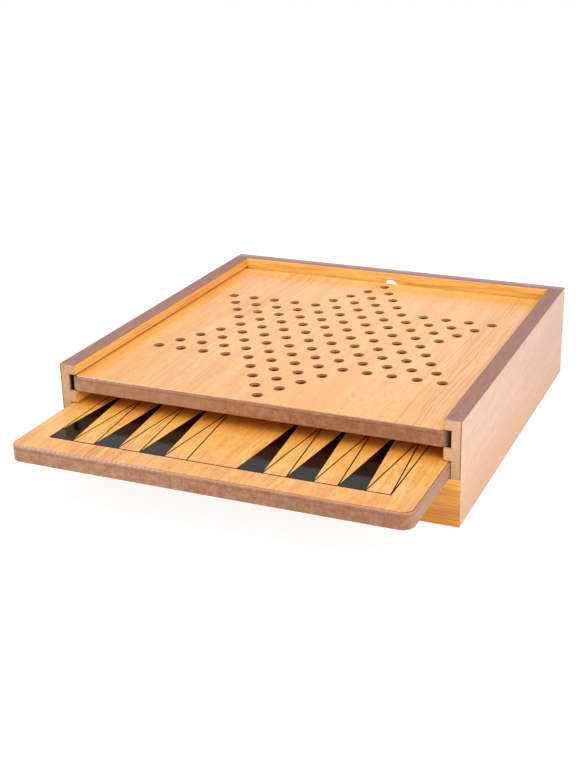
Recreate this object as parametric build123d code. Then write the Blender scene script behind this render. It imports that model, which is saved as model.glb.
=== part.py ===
from build123d import *
import os
import random
from math import degrees, sqrt

# Games compendium box. A shallow square case of veneered fibreboard carries two playing boards in
# grooves, one above the other. Under them a divided well keeps the pegs, draughts and dice.
#
# Frame: millimetres, +Z up, +X to the right, the open front faces -Y. The origin is the middle of
# the case's underside. The backgammon board stands partly drawn out to the front.

# ---------------------------------------------------------------- driving sizes: case
CASE_W = 300.0            # outside width, left to right
CASE_D = 300.0            # outside depth, front to back
WALL_CORE_T = 11.4        # fibreboard of the case walls
VENEER_T = 0.5            # one sheet of veneer
RAIL_H = 34.5             # height of the front rail; its top is level with the lower groove's floor
LAND_H = 8.8              # wall left standing between the two grooves
LIP_H = 7.5               # wall above the upper groove
GROOVE_DEPTH = 5.5        # into the side wall, measured from the veneered face
CASE_ARRIS_R = 0.8        # rounding of the case's top edges and of its outer lower edges
FRONT_ARRIS_R = 0.5       # rounding across the upper front ends of the side walls
BASE_T = 3.0              # hardboard bottom
REBATE_W = 6.0            # how far the bottom reaches under each wall
BASE_SLACK = 0.3          # gap around the bottom in its rebate
PUSH_HOLE_D = 16.0        # holes in the back, for pushing the boards out

# ---------------------------------------------------------------- driving sizes: boards
BOARD_CORE_T = 11.0       # fibreboard of both boards
GROOVE_GAP = 0.6          # slack over a board in its groove
SIDE_SLACK = 0.4          # slack beside a board in its groove, each side
BACK_SLACK = 2.2          # room behind a board whose front is flush with the case
BOARD_CORNER_R = 8.5      # corners of the boards, seen from above
TOP_ARRIS_R = 1.8         # round-over along a board's upper edge
UNDER_ARRIS_R = 1.0       # round-over along a board's lower edge
DRAWN_OUT = 77.9          # how far the backgammon board stands out of the case

STAR_MARGIN = 12.8        # from the star's front and back tips to the board's edge
PEG_HOLE_D = 8.0
PEG_HOLE_DEPTH = 8.0
STAR_OFFSET = 0.5         # how far right of its board's middle the star was drilled

PLAY_MARGIN = 19.7        # border beside the backgammon field
BAR_W = 36.0              # bar between the two halves of the backgammon field

# ---------------------------------------------------------------- driving sizes: well and pieces
DIVIDER_T = 5.0
DIVIDER_CLEARANCE = 1.0   # under the backgammon board

PEG_CLEARANCE = 0.3       # between a peg and its hole, all round
PEG_LENGTH = 24.0
PEG_CHAMFER = 0.5         # at the end that goes in
PEG_SPACING = 2.4         # between stored pegs
PEG_LIFT = 0.05           # a round peg lies this far off the bottom

DRAUGHT_CLEARANCE = 1.0   # a draught is this much narrower than a backgammon point
DRAUGHT_T = 6.0
DRAUGHT_ARRIS_R = 0.8
DISH_RIM_W = 2.2          # rim around the dished face of a draught
DISH_DEPTH = 0.6
DRAUGHT_SPACING = 1.6     # between stored draughts

DIE_SIZE = 12.0
DIE_ARRIS_R = 1.4
DIE_SPACING = 4.0         # between stored dice, corner to corner
PIP_D = 2.2
PIP_STEP = 3.0            # from the middle of a face to its outer pips
PIP_DEPTH = 0.4
PIP_PAINT_T = 0.15

# ---------------------------------------------------------------- counts and shares
STAR_ARM = 4              # rows of holes in each arm of the star
POINTS_PER_HALF = 6       # backgammon points in half a side
PEGS_PER_COLOUR = 10
DRAUGHTS_PER_SIDE = 15
DICE_PER_ROW = 2
DICE = 4
WELL_COLUMNS = 3
WELL_ROWS = 2
PEG_SETS_PER_CELL = 2

ROUNDING_LIMIT = 1 / 3    # a rounding takes no more than this share of a thickness
DOME_SHARE = 0.85         # rounding of a peg's domed end, as a share of its radius
DRIFT_SHARE = 0.4         # loose pieces lie this share of their spacing out of line

# ---------------------------------------------------------------- derived sizes
WALL_T = WALL_CORE_T + 2 * VENEER_T
BOARD_T = BOARD_CORE_T + 2 * VENEER_T
GROOVE_H = BOARD_T + GROOVE_GAP

LOWER_GROOVE_Z = RAIL_H
UPPER_GROOVE_Z = LOWER_GROOVE_Z + GROOVE_H + LAND_H
GROOVE_LEVELS = (LOWER_GROOVE_Z, UPPER_GROOVE_Z)
CASE_H = UPPER_GROOVE_Z + GROOVE_H + LIP_H

OUTER_X = CASE_W / 2
OUTER_Y = CASE_D / 2
INNER_X = OUTER_X - WALL_T
INNER_Y = OUTER_Y - WALL_T
GROOVE_X = INNER_X + GROOVE_DEPTH

BOARD_W = 2 * (GROOVE_X - SIDE_SLACK)
BOARD_D = OUTER_Y + INNER_Y - BACK_SLACK
BOARD_X = -SIDE_SLACK / 2                    # the boards lie a little to the left in their slack
STAR_X = BOARD_X + STAR_OFFSET
BOARD_Y = -OUTER_Y + BOARD_D / 2             # middle of a board that is fully in

ROW_PER_PITCH = sqrt(3) / 2                  # row spacing of a triangular lattice
STAR_PITCH = (BOARD_D / 2 - STAR_MARGIN) / (2 * STAR_ARM * ROW_PER_PITCH)
POINT_W = (BOARD_W - 2 * PLAY_MARGIN - BAR_W) / (2 * POINTS_PER_HALF)

WELL_Z = BASE_T
DIVIDER_H = RAIL_H - WELL_Z - DIVIDER_CLEARANCE
CELL_W = (2 * INNER_X - (WELL_COLUMNS - 1) * DIVIDER_T) / WELL_COLUMNS
CELL_D = (2 * INNER_Y - (WELL_ROWS - 1) * DIVIDER_T) / WELL_ROWS

PEG_R = PEG_HOLE_D / 2 - PEG_CLEARANCE
PEG_DRIFT = DRIFT_SHARE * PEG_SPACING
PEG_YAW = degrees(2 * PEG_DRIFT / PEG_LENGTH)
DRAUGHT_R = (POINT_W - DRAUGHT_CLEARANCE) / 2
DRAUGHT_DRIFT = DRIFT_SHARE * DRAUGHT_SPACING

REACH = 2 * (CASE_W + CASE_D + CASE_H)       # longer than anything here, for cutting blocks


# ---------------------------------------------------------------- helpers
def block(x, y, z):
    """A box between two values on each axis, given as pairs."""
    size = [abs(high - low) for low, high in (x, y, z)]
    middle = [(high + low) / 2 for low, high in (x, y, z)]
    return Pos(*middle) * Box(*size)


def sheet(solid, axis, low, high):
    """What lies of a panel between two levels on the axis X, Y or Z."""
    span = dict.fromkeys("XYZ", (-REACH, REACH))
    span[axis] = (low, high)
    return solid & block(span["X"], span["Y"], span["Z"])


def rounded(solid, edges, radius, thickness):
    """Round edges by a radius that the thickness beside them allows."""
    return fillet(edges, min(radius, thickness * ROUNDING_LIMIT))


def end_half_of_corner(side, end, z):
    """The half of a square wall corner, cut on the mitre, that belongs to the front or back.

    side is -1 or 1 for left or right, end is -1 or 1 for front or back, z is a pair of heights.
    """
    corner = (side * OUTER_X, end * OUTER_Y)
    inside = (side * INNER_X, end * INNER_Y)
    beside = (side * INNER_X, end * OUTER_Y)
    triangle = make_face(Polyline(corner, inside, beside, close=True))
    return Pos(0, 0, z[0]) * extrude(triangle, z[1] - z[0])


def side_half_of_corner(side, end, z):
    """The other half of the same corner, which belongs to the side wall."""
    square = block((side * INNER_X, side * OUTER_X), (end * INNER_Y, end * OUTER_Y), z)
    return square - end_half_of_corner(side, end, z)


def save(node, solid):
    """Write one node of the assembly."""
    export_step(solid, os.path.join("parts", node + ".step"))


# ---------------------------------------------------------------- case
def side_wall():
    """The right side wall, core and veneers in one, with its grooves, rebate and mitres."""
    wall = block((INNER_X, OUTER_X), (-OUTER_Y, OUTER_Y), (0, CASE_H))
    long_edges = wall.edges().filter_by(Axis.Y)
    eased = long_edges.group_by(Axis.Z)[-1] + [long_edges.group_by(Axis.Z)[0].sort_by(Axis.X)[-1]]
    wall = rounded(wall, eased, CASE_ARRIS_R, WALL_T)
    front_top = wall.edges().group_by(Axis.Y)[0].filter_by(Axis.X).group_by(Axis.Z)[-1]
    wall = rounded(wall, front_top, FRONT_ARRIS_R, LIP_H)

    for groove_z in GROOVE_LEVELS:
        wall -= block((INNER_X, GROOVE_X), (-REACH, REACH), (groove_z, groove_z + GROOVE_H))
    wall -= block((INNER_X, INNER_X + REBATE_W), (-REACH, REACH), (0, BASE_T))
    wall -= end_half_of_corner(1, -1, (0, RAIL_H))
    wall -= end_half_of_corner(1, 1, (0, CASE_H))
    return wall


def end_wall(end, height, top_rounded):
    """A front or back wall between mitres, core and veneers in one, with its rebate."""
    wall = block((-OUTER_X, OUTER_X), (end * INNER_Y, end * OUTER_Y), (0, height))
    long_edges = wall.edges().filter_by(Axis.X)
    outer_edges = long_edges.group_by(Axis.Y)[0 if end < 0 else -1]
    eased = [outer_edges.sort_by(Axis.Z)[0]]
    if top_rounded:
        eased += long_edges.group_by(Axis.Z)[-1]
    wall = rounded(wall, eased, CASE_ARRIS_R, WALL_T)
    rebate_y = (end * INNER_Y, end * (INNER_Y + REBATE_W))
    wall -= block((-REACH, REACH), rebate_y, (0, BASE_T))
    for side in (-1, 1):
        wall -= side_half_of_corner(side, end, (0, height))
    return wall


def side_nodes():
    """Core, outer veneer and the three strips of inner veneer, for both side walls."""
    wall = side_wall()
    pieces = {
        "core": sheet(wall, "X", INNER_X + VENEER_T, OUTER_X - VENEER_T),
        "outer_veneer": sheet(wall, "X", OUTER_X - VENEER_T, OUTER_X),
    }
    strips = sheet(wall, "X", INNER_X, INNER_X + VENEER_T).solids().sort_by(Axis.Z)
    for place, strip in zip(("well", "land", "rim"), strips):
        pieces["inner_veneer_" + place] = strip
    for name, piece in pieces.items():
        save("right_side_" + name, piece)
        save("left_side_" + name, mirror(piece, about=Plane.YZ))


def back_nodes():
    """Back wall with the push holes, one behind each board."""
    wall = end_wall(1, CASE_H, True)
    hole = Rot(90, 0, 0) * Cylinder(PUSH_HOLE_D / 2, 2 * WALL_T)
    for groove_z in GROOVE_LEVELS:
        wall -= Pos(0, OUTER_Y - WALL_T / 2, groove_z + BOARD_T / 2) * hole
    save("back_core", sheet(wall, "Y", INNER_Y + VENEER_T, OUTER_Y - VENEER_T))
    save("back_outer_veneer", sheet(wall, "Y", OUTER_Y - VENEER_T, OUTER_Y))
    save("back_inner_veneer", sheet(wall, "Y", INNER_Y, INNER_Y + VENEER_T))


def rail_nodes():
    """Low front rail under the backgammon board."""
    wall = end_wall(-1, RAIL_H, False)
    save("front_rail_core", sheet(wall, "Y", -OUTER_Y + VENEER_T, -INNER_Y - VENEER_T))
    save("front_rail_outer_veneer", sheet(wall, "Y", -OUTER_Y, -OUTER_Y + VENEER_T))
    save("front_rail_inner_veneer", sheet(wall, "Y", -INNER_Y - VENEER_T, -INNER_Y))


def bottom_node():
    """Hardboard bottom, let into the rebate of all four walls and flush with their feet."""
    half_x = INNER_X + REBATE_W - BASE_SLACK
    half_y = INNER_Y + REBATE_W - BASE_SLACK
    save("bottom_panel", block((-half_x, half_x), (-half_y, half_y), (0, BASE_T)))


# ---------------------------------------------------------------- boards
def plain_board(middle_y, z):
    """A veneered board with rounded corners and eased edges, core and veneers in one."""
    board = Box(BOARD_W, BOARD_D, BOARD_T, align=(Align.CENTER, Align.CENTER, Align.MIN))
    board = fillet(board.edges().filter_by(Axis.Z), BOARD_CORNER_R)
    board = rounded(board, board.faces().sort_by(Axis.Z)[-1].edges(), TOP_ARRIS_R, BOARD_T)
    board = rounded(board, board.faces().sort_by(Axis.Z)[0].edges(), UNDER_ARRIS_R, BOARD_T)
    return Pos(BOARD_X, middle_y, z) * board


def save_board(name, board, z):
    """Split a board into its core and the veneers on its two faces."""
    save(name + "_core", sheet(board, "Z", z + VENEER_T, z + BOARD_T - VENEER_T))
    save(name + "_top_veneer", sheet(board, "Z", z + BOARD_T - VENEER_T, z + BOARD_T))
    save(name + "_under_veneer", sheet(board, "Z", z, z + VENEER_T))


def star_points():
    """Centres of the holes of a six-armed star, on a triangular lattice about the origin."""
    reach = range(-2 * STAR_ARM, 2 * STAR_ARM + 1)
    for row in reach:
        for column in reach:
            third = -row - column
            in_one_triangle = max(row, column, third) <= STAR_ARM
            in_the_other = min(row, column, third) >= -STAR_ARM
            if in_one_triangle or in_the_other:
                yield STAR_PITCH * (column + row / 2), STAR_PITCH * ROW_PER_PITCH * row


def star_board_nodes():
    """The upper board, drilled with a star of blind peg holes; fully in at rest."""
    z = UPPER_GROOVE_Z
    board = plain_board(BOARD_Y, z)
    circles = Sketch() + [Pos(x, y) * Circle(PEG_HOLE_D / 2) for x, y in star_points()]
    holes = extrude(circles, PEG_HOLE_DEPTH)
    board -= Pos(STAR_X, BOARD_Y, z + BOARD_T - PEG_HOLE_DEPTH) * holes
    save_board("star_board", board, z)


def backgammon_board_nodes():
    """The lower board, drawn partly out to the front at rest."""
    z = LOWER_GROOVE_Z
    save_board("backgammon_board", plain_board(BOARD_Y - DRAWN_OUT, z), z)


# ---------------------------------------------------------------- well
def cell_middle(column, row):
    """Middle of one compartment; column 0 is at the left, row 0 at the front."""
    x = -INNER_X + CELL_W / 2 + column * (CELL_W + DIVIDER_T)
    y = -INNER_Y + CELL_D / 2 + row * (CELL_D + DIVIDER_T)
    return x, y


def divider_nodes():
    """Dividers on edge in the well. They cross in halving joints, half from above, half below."""
    halving_z = WELL_Z + DIVIDER_H / 2
    top_z = WELL_Z + DIVIDER_H
    cross_range = (-INNER_Y + CELL_D, -INNER_Y + CELL_D + DIVIDER_T)
    left_wall = -INNER_X + CELL_W
    column_ranges = {
        "left": (left_wall, left_wall + DIVIDER_T),
        "right": (-left_wall - DIVIDER_T, -left_wall),
    }

    cross = block((-INNER_X, INNER_X), cross_range, (WELL_Z, top_z))
    for name, column_range in column_ranges.items():
        cross -= block(column_range, cross_range, (halving_z, top_z))
        divider = block(column_range, (-INNER_Y, INNER_Y), (WELL_Z, top_z))
        divider -= block(column_range, cross_range, (WELL_Z, halving_z))
        save("well_divider_" + name, divider)
    save("well_divider_cross", cross)


# ---------------------------------------------------------------- playing pieces
def rows_of(count, width, piece_w, piece_d, spacing):
    """Places for a number of loose pieces, row by row about a middle, as (x, y) steps."""
    step_x = piece_w + spacing
    step_y = piece_d + spacing
    per_row = max(1, int(width // step_x))
    rows = -(-count // per_row)
    for index in range(count):
        row, column = divmod(index, per_row)
        yield (column - (per_row - 1) / 2) * step_x, (row - (rows - 1) / 2) * step_y


def one_peg():
    """A turned peg lying along X, domed at one end and chamfered at the other."""
    peg = Cylinder(PEG_R, PEG_LENGTH)
    peg = fillet(peg.edges().group_by(Axis.Z)[-1], DOME_SHARE * PEG_R)
    peg = chamfer(peg.edges().group_by(Axis.Z)[0], min(PEG_CHAMFER, PEG_R * ROUNDING_LIMIT))
    return Rot(0, 90, 0) * peg


def peg_nodes():
    """Six sets of pegs, lying in rows. Two sets share a compartment, side by side."""
    peg = one_peg()
    cells = {(0, 0): ("red", "yellow"), (2, 0): ("green", "blue"), (1, 1): ("white", "black")}
    lane_w = CELL_W / PEG_SETS_PER_CELL
    shuffle = random.Random(3)
    for (column, row), colours in cells.items():
        middle_x, middle_y = cell_middle(column, row)
        for side, colour in zip((-1, 1), colours):
            pegs = []
            for x, y in rows_of(PEGS_PER_COLOUR, lane_w, PEG_LENGTH, 2 * PEG_R, PEG_SPACING):
                drift = shuffle.uniform(-PEG_DRIFT, PEG_DRIFT)
                yaw = shuffle.uniform(-PEG_YAW, PEG_YAW) + shuffle.choice((0, 180))
                spot = Pos(middle_x + side * lane_w / 2 + x + drift, middle_y + y, WELL_Z + PEG_R + PEG_LIFT)
                pegs.append(spot * Rot(0, 0, yaw) * peg)
            save("pegs_" + colour, Compound(children=pegs))


def one_draught():
    """A flat draught, dished on both faces."""
    disc = Cylinder(DRAUGHT_R, DRAUGHT_T)
    disc = rounded(disc, disc.edges().filter_by(GeomType.CIRCLE), DRAUGHT_ARRIS_R, DRAUGHT_T)
    for face in (-1, 1):
        disc -= Pos(0, 0, face * DRAUGHT_T / 2) * Cylinder(DRAUGHT_R - DISH_RIM_W, 2 * DISH_DEPTH)
    return disc


def draught_nodes():
    """The draughts of both sides, laid flat in the back corners of the well."""
    draught = one_draught()
    shuffle = random.Random(5)
    for column, colour in ((0, "light"), (2, "dark")):
        middle_x, middle_y = cell_middle(column, 1)
        discs = []
        for x, y in rows_of(DRAUGHTS_PER_SIDE, CELL_W, 2 * DRAUGHT_R, 2 * DRAUGHT_R, DRAUGHT_SPACING):
            drift_x = shuffle.uniform(-DRAUGHT_DRIFT, DRAUGHT_DRIFT)
            drift_y = shuffle.uniform(-DRAUGHT_DRIFT, DRAUGHT_DRIFT)
            spot = Pos(middle_x + x + drift_x, middle_y + y + drift_y, WELL_Z + DRAUGHT_T / 2)
            discs.append(spot * draught)
        save("draughts_" + colour, Compound(children=discs))


def pip_spots():
    """Middle of every pip on a die, as a location whose Z axis points out of its face."""
    corners = [(x, y) for x in (-PIP_STEP, PIP_STEP) for y in (-PIP_STEP, PIP_STEP)]
    diagonal = [(-PIP_STEP, -PIP_STEP), (PIP_STEP, PIP_STEP)]
    middle = [(0, 0)]
    edge_middles = [(-PIP_STEP, 0), (PIP_STEP, 0)]
    faces = (
        (Rot(0, 0, 0), middle),
        (Rot(180, 0, 0), corners + edge_middles),
        (Rot(90, 0, 0), diagonal),
        (Rot(-90, 0, 0), corners + middle),
        (Rot(0, 90, 0), diagonal + middle),
        (Rot(0, -90, 0), corners),
    )
    for turn, spots in faces:
        for x, y in spots:
            yield turn * Pos(x, y, DIE_SIZE / 2)


def die_and_paint():
    """A die with drilled pips, and the dots of paint in the pips."""
    die = Box(DIE_SIZE, DIE_SIZE, DIE_SIZE)
    die = rounded(die, die.edges(), DIE_ARRIS_R, DIE_SIZE)
    paint = []
    for spot in pip_spots():
        die -= spot * Cylinder(PIP_D / 2, 2 * PIP_DEPTH)
        dot = Cylinder(PIP_D / 2, PIP_PAINT_T, align=(Align.CENTER, Align.CENTER, Align.MIN))
        paint.append(spot * Pos(0, 0, -PIP_DEPTH) * dot)
    return die, paint


def dice_nodes():
    """Dice in the middle of the well's front row, each on another face and turned its own way."""
    die, paint = die_and_paint()
    middle_x, middle_y = cell_middle(1, 0)
    tumbles = (Rot(0, 0, 0), Rot(90, 0, 0), Rot(0, 90, 0), Rot(180, 0, 0))
    footprint = DIE_SIZE * sqrt(2)
    row_w = DICE_PER_ROW * (footprint + DIE_SPACING)
    shuffle = random.Random(8)
    dice = []
    paints = []
    for index, (x, y) in enumerate(rows_of(DICE, row_w, footprint, footprint, DIE_SPACING)):
        spot = Pos(middle_x + x, middle_y + y, WELL_Z + DIE_SIZE / 2)
        turn = Rot(0, 0, shuffle.uniform(0, 90)) * tumbles[index % len(tumbles)]
        dice.append(spot * turn * die)
        paints.extend(spot * turn * dot for dot in paint)
    save("dice", Compound(children=dice))
    save("dice_pip_paint", Compound(children=paints))


# ---------------------------------------------------------------- write every node
os.makedirs("parts", exist_ok=True)
side_nodes()
back_nodes()
rail_nodes()
bottom_node()
star_board_nodes()
backgammon_board_nodes()
divider_nodes()
peg_nodes()
draught_nodes()
dice_nodes()
print(f"case {CASE_W:.1f} x {CASE_D:.1f} x {CASE_H:.1f}")
print(f"boards {BOARD_W:.1f} x {BOARD_D:.1f} x {BOARD_T:.1f}")
print(f"peg holes every {STAR_PITCH:.2f}, backgammon points {POINT_W:.2f} wide, draughts {2 * DRAUGHT_R:.2f}")
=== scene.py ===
# %% [markdown]
# # Finishing a games compendium box
#
# The box is a shallow square case of veneered fibreboard. Two playing boards slide in grooves in its
# side walls: a star board with peg holes on top, and a backgammon board under it, here partly drawn
# out. A divided well below them keeps pegs, draughts and dice.
#
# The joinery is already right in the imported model, so this script loads that model and leaves its
# shapes alone. What it adds is what a finisher adds: lacquer on the veneer, stain on the cut edges,
# printed ink on the board, paint on the pegs.

# %% Load the joinery
import math

import bpy
from mathutils import Matrix, Vector


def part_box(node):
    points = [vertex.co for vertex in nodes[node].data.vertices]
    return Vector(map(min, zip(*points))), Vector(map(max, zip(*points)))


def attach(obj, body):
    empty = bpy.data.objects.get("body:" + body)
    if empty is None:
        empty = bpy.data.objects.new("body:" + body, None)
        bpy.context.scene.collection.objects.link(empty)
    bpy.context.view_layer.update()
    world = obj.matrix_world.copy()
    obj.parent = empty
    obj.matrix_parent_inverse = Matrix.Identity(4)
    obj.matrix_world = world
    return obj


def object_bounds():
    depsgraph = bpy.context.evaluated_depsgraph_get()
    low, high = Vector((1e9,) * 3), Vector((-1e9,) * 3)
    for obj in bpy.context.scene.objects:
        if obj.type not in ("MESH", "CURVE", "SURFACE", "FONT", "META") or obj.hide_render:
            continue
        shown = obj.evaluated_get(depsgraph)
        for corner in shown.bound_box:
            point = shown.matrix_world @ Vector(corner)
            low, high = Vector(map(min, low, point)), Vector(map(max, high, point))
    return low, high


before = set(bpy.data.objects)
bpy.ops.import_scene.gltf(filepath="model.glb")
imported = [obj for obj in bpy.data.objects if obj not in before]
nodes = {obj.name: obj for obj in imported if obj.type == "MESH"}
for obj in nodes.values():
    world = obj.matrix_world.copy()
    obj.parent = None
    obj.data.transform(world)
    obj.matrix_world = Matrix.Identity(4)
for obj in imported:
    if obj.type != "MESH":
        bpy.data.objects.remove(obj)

cad_low, cad_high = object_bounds()
MM = 0.001
print("pieces:", len(nodes), "box in mm:", [round(side / MM, 1) for side in cad_high - cad_low])

# %% [markdown]
# ## Where the camera stands
#
# A tabletop view of a flat box is usually taken from a little above one front corner, with a long
# lens, so that the top shows as a calm diamond and the uprights stay almost parallel. A camera could be
# aimed with a Track To constraint, but three angles say more plainly how a tripod is set: how far round
# it stands, how far it looks down, and the small error left in its level.

# %% Set the camera
PICTURE_PX = (576, 768)
AXIS_PX = (322.8, 364.6)            # where the lens looks, counted from the picture's top left
FOCAL_PX = 1287.7
SENSOR_MM = 36.0
CAMERA_PLACE = (0.3559, -0.8752, 0.4036)
CAMERA_ROUND = 22.555               # degrees from straight ahead, round to the right
CAMERA_DOWN = 21.001
CAMERA_TILT = -0.805


def new_object(name, data):
    """An object that shows this data, put into the scene."""
    made = bpy.data.objects.new(name, data)
    bpy.context.scene.collection.objects.link(made)
    return made


long_side = max(PICTURE_PX)
lens = bpy.data.cameras.new("tripod_camera")
lens.sensor_width = SENSOR_MM
lens.lens = FOCAL_PX * SENSOR_MM / long_side
lens.shift_x = (PICTURE_PX[0] / 2 - AXIS_PX[0]) / long_side
lens.shift_y = (AXIS_PX[1] - PICTURE_PX[1] / 2) / long_side
lens.clip_start = 0.05
lens.clip_end = 20.0

camera = new_object("tripod_camera", lens)
camera.matrix_world = (
    Matrix.Translation(CAMERA_PLACE)
    @ Matrix.Rotation(math.radians(CAMERA_ROUND), 4, "Z")
    @ Matrix.Rotation(math.radians(90 - CAMERA_DOWN), 4, "X")
    @ Matrix.Rotation(math.radians(CAMERA_TILT), 4, "Z")
)
bpy.context.scene.camera = camera
print("lens in mm:", round(lens.lens, 1))

# %% [markdown]
# ## Helpers for node trees
#
# Every finish below is a small node tree. Built by hand in the Shader Editor, a tree like these takes
# an hour and can't be compared with the next one. Written as functions, each step of a finish gets a
# name, and the steps are shared: `put` adds one node and joins its inputs, and the other helpers wrap
# the few nodes that come back again and again. A node's output knows its tree, so only a helper that
# starts from nothing has to be told which tree it works in.

# %% Build nodes from functions
def put(tree, kind, inputs=None, **settings):
    """Add a node, choose its settings, and feed each input a value or another node's output."""
    node = tree.nodes.new(kind)
    for setting, value in settings.items():
        setattr(node, setting, value)
    for socket, value in (inputs or {}).items():
        if isinstance(value, bpy.types.NodeSocket):
            tree.links.new(value, node.inputs[socket])
        else:
            node.inputs[socket].default_value = value
    return node


def tree_of(*values):
    """The node tree of the first value that is a node's output."""
    return next(value.id_data for value in values if isinstance(value, bpy.types.NodeSocket))


def maths(operation, first, second=0.0):
    """One sum on two numbers."""
    inputs = {0: first, 1: second}
    return put(tree_of(first, second), "ShaderNodeMath", inputs, operation=operation).outputs[0]


def vector_maths(operation, first, second=(0, 0, 0), output="Vector"):
    """One sum on two vectors."""
    inputs = {0: first, 1: second}
    return put(tree_of(first), "ShaderNodeVectorMath", inputs, operation=operation).outputs[output]


def plus(first, *others):
    """Two or more numbers added up."""
    for other in others:
        first = maths("ADD", first, other)
    return first


def times(first, *others):
    """The product of two or more numbers. For shares, the part where all of them hold."""
    for other in others:
        first = maths("MULTIPLY", first, other)
    return first


print("helpers for any tree:", put.__name__, maths.__name__, plus.__name__, times.__name__)

# %% [markdown]
# A finish is mostly one colour laid over another where a pattern is strong. A fade turns any number
# into such a share, from 0 to 1. A blend lays paint by it, and a glaze lays tinted varnish. A Color Ramp
# makes shares too, but a Map Range shows its two limits as plain numbers. Colours are written as a
# screen shows them, because swatches are read that way, and then turned into light.

# %% Mix colours by shares
def fade(value, start, end, low=0.0, high=1.0):
    """Goes smoothly from low to high as the value goes from start to end, and stays there."""
    inputs = {"Value": value, "From Min": start, "From Max": end, "To Min": low, "To Max": high}
    return put(tree_of(value), "ShaderNodeMapRange", inputs, interpolation_type="SMOOTHSTEP").outputs[0]


def blend(share, under, over):
    """Lay one colour over another by a share from 0 to 1. The node's colours are its inputs 6 and 7."""
    inputs = {0: share, 6: under, 7: over}
    return put(tree_of(share), "ShaderNodeMix", inputs, data_type="RGBA").outputs[2]


def glaze(share, under, glass):
    """Lay a clear coat of tinted varnish over a colour, by a share from 0 to 1."""
    colour = blend(share, under, glass)
    colour.node.blend_type = "MULTIPLY"
    return colour


def layered(colour, *layers):
    """Lay colours over a first one, in turn. Each layer is a share and a colour."""
    for share, over in layers:
        colour = blend(share, colour, over)
    return colour


def tone(red, green, blue):
    """A colour as a screen shows it, 0 to 255 a channel, turned into the light that Blender adds up."""
    def light(channel):
        share = channel / 255
        return share / 12.92 if share <= 0.04045 else ((share + 0.055) / 1.055) ** 2.4
    return (light(red), light(green), light(blue), 1.0)


print("mid grey as light:", round(tone(128, 128, 128)[0], 3))

# %% [markdown]
# ## Where a point is on its piece
#
# A pattern has to stay on its piece when a board slides, so every finish reads Object coordinates, in
# metres. Grain needs only two of them: how far along the fibres, and how far across. The face's own
# direction tells a broad face from a cut edge of the same piece.
#
# Noise seldom leaves the range from 0.3 to 0.7, so a fade from 0.5 to 0.7 keeps only its strongest
# marks. A seed is any number, as long as each pattern has its own.

# %% Read place and direction
def spot_on(tree, kind="Object"):
    """A point of the piece as one vector, or the way its face looks if the kind is Normal."""
    return put(tree, "ShaderNodeTexCoord").outputs[kind]


def place_on(tree):
    """The three coordinates of a point of the piece, by the name of the axis."""
    return put(tree, "ShaderNodeSeparateXYZ", {"Vector": spot_on(tree)}).outputs


def facing_on(tree):
    """How far the face looks along each axis, from -1 to 1."""
    return put(tree, "ShaderNodeSeparateXYZ", {"Vector": spot_on(tree, "Normal")}).outputs


def marks(along, across, length, width, seed, detail=2.0):
    """Noise drawn out along one direction, as marks of about this length and width in mm."""
    tree = tree_of(along)
    inputs = {
        "X": maths("DIVIDE", along, length * MM),
        "Y": maths("DIVIDE", across, width * MM),
        "Z": seed,
    }
    place = put(tree, "ShaderNodeCombineXYZ", inputs).outputs[0]
    return put(tree, "ShaderNodeTexNoise", {"Vector": place, "Scale": 1.0, "Detail": detail}).outputs[0]


def specks(tree, size, seed, detail=3.0):
    """Even noise with grains of about this size in mm, the same in every direction."""
    moved = vector_maths("ADD", spot_on(tree), (seed, seed, seed))
    inputs = {"Vector": moved, "Scale": 1.0 / (size * MM), "Detail": detail}
    return put(tree, "ShaderNodeTexNoise", inputs).outputs[0]


print("patterns are in metres, so a piece of 1 mm is", MM)

# %% [markdown]
# ## From a pattern to a surface
#
# Every finish ends in the same three things: a colour, how dull it is, and how high it stands. One
# shader node takes all three. The relief is only a bump, because lacquer and stain are thinner than a
# tenth of a millimetre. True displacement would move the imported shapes, which have to stay as they are.

# %% Lay a finish on a piece
def new_finish(name):
    """An empty material, and the tree to build its finish in."""
    material = bpy.data.materials.new(name)
    material.use_nodes = True
    material.node_tree.nodes.clear()
    return material, material.node_tree


def cover(tree, colour, roughness, height, relief, **gloss):
    """The surface itself: colour and roughness from the pattern, relief from its height."""
    bump = put(tree, "ShaderNodeBump", {"Height": height, "Distance": relief, "Strength": 1.0})
    inputs = {"Base Color": colour, "Roughness": roughness, "Normal": bump.outputs[0]}
    for socket, value in gloss.items():
        inputs[socket.replace("_", " ")] = value
    shader = put(tree, "ShaderNodeBsdfPrincipled", inputs)
    put(tree, "ShaderNodeOutputMaterial", {"Surface": shader.outputs[0]})


def dress(material, *names):
    """Give CAD pieces a finish, in the slot that they came with."""
    for name in names:
        nodes[name].material_slots[0].material = material
    print(material.name, "on", ", ".join(names))


print("slots to fill:", sum(len(node.material_slots) for node in nodes.values()))

# %% [markdown]
# ## Stained edges
#
# After the case was glued up, its top edges were sanded flush, veneer and all, and stained a mauve
# brown. The boards' edges were routed round and stained in the same way. The stain doesn't stop at the
# veneer, so a share from 0 to 1 says where it lies, and each finish that reaches an edge asks for it.
# On the case the share comes from height and from the way a face looks. A second material on the top
# faces would need them cut out of the mesh, and would end in a hard line.

# %% Say where the stain lies on the case
CASE_STAIN = tone(144, 99, 87)
TOP_BAND = 0.9 * MM                 # height of the rounding that the sander left on the case

case_top = cad_high.z
case_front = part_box("left_side_core")[0].y


def stained_case(tree):
    """1 on the case's sanded top edges, with a ragged run over the front ends."""
    place = place_on(tree)
    run = marks(place["X"], place["Y"], 3, 3, seed=2.0)
    depth = plus(place["Z"], times(run, 0.8 * MM))
    on_top = fade(depth, case_top - TOP_BAND, case_top - TOP_BAND / 3)
    return times(on_top, fade(facing_on(tree)["Z"], 0.1, 0.4))


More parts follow.
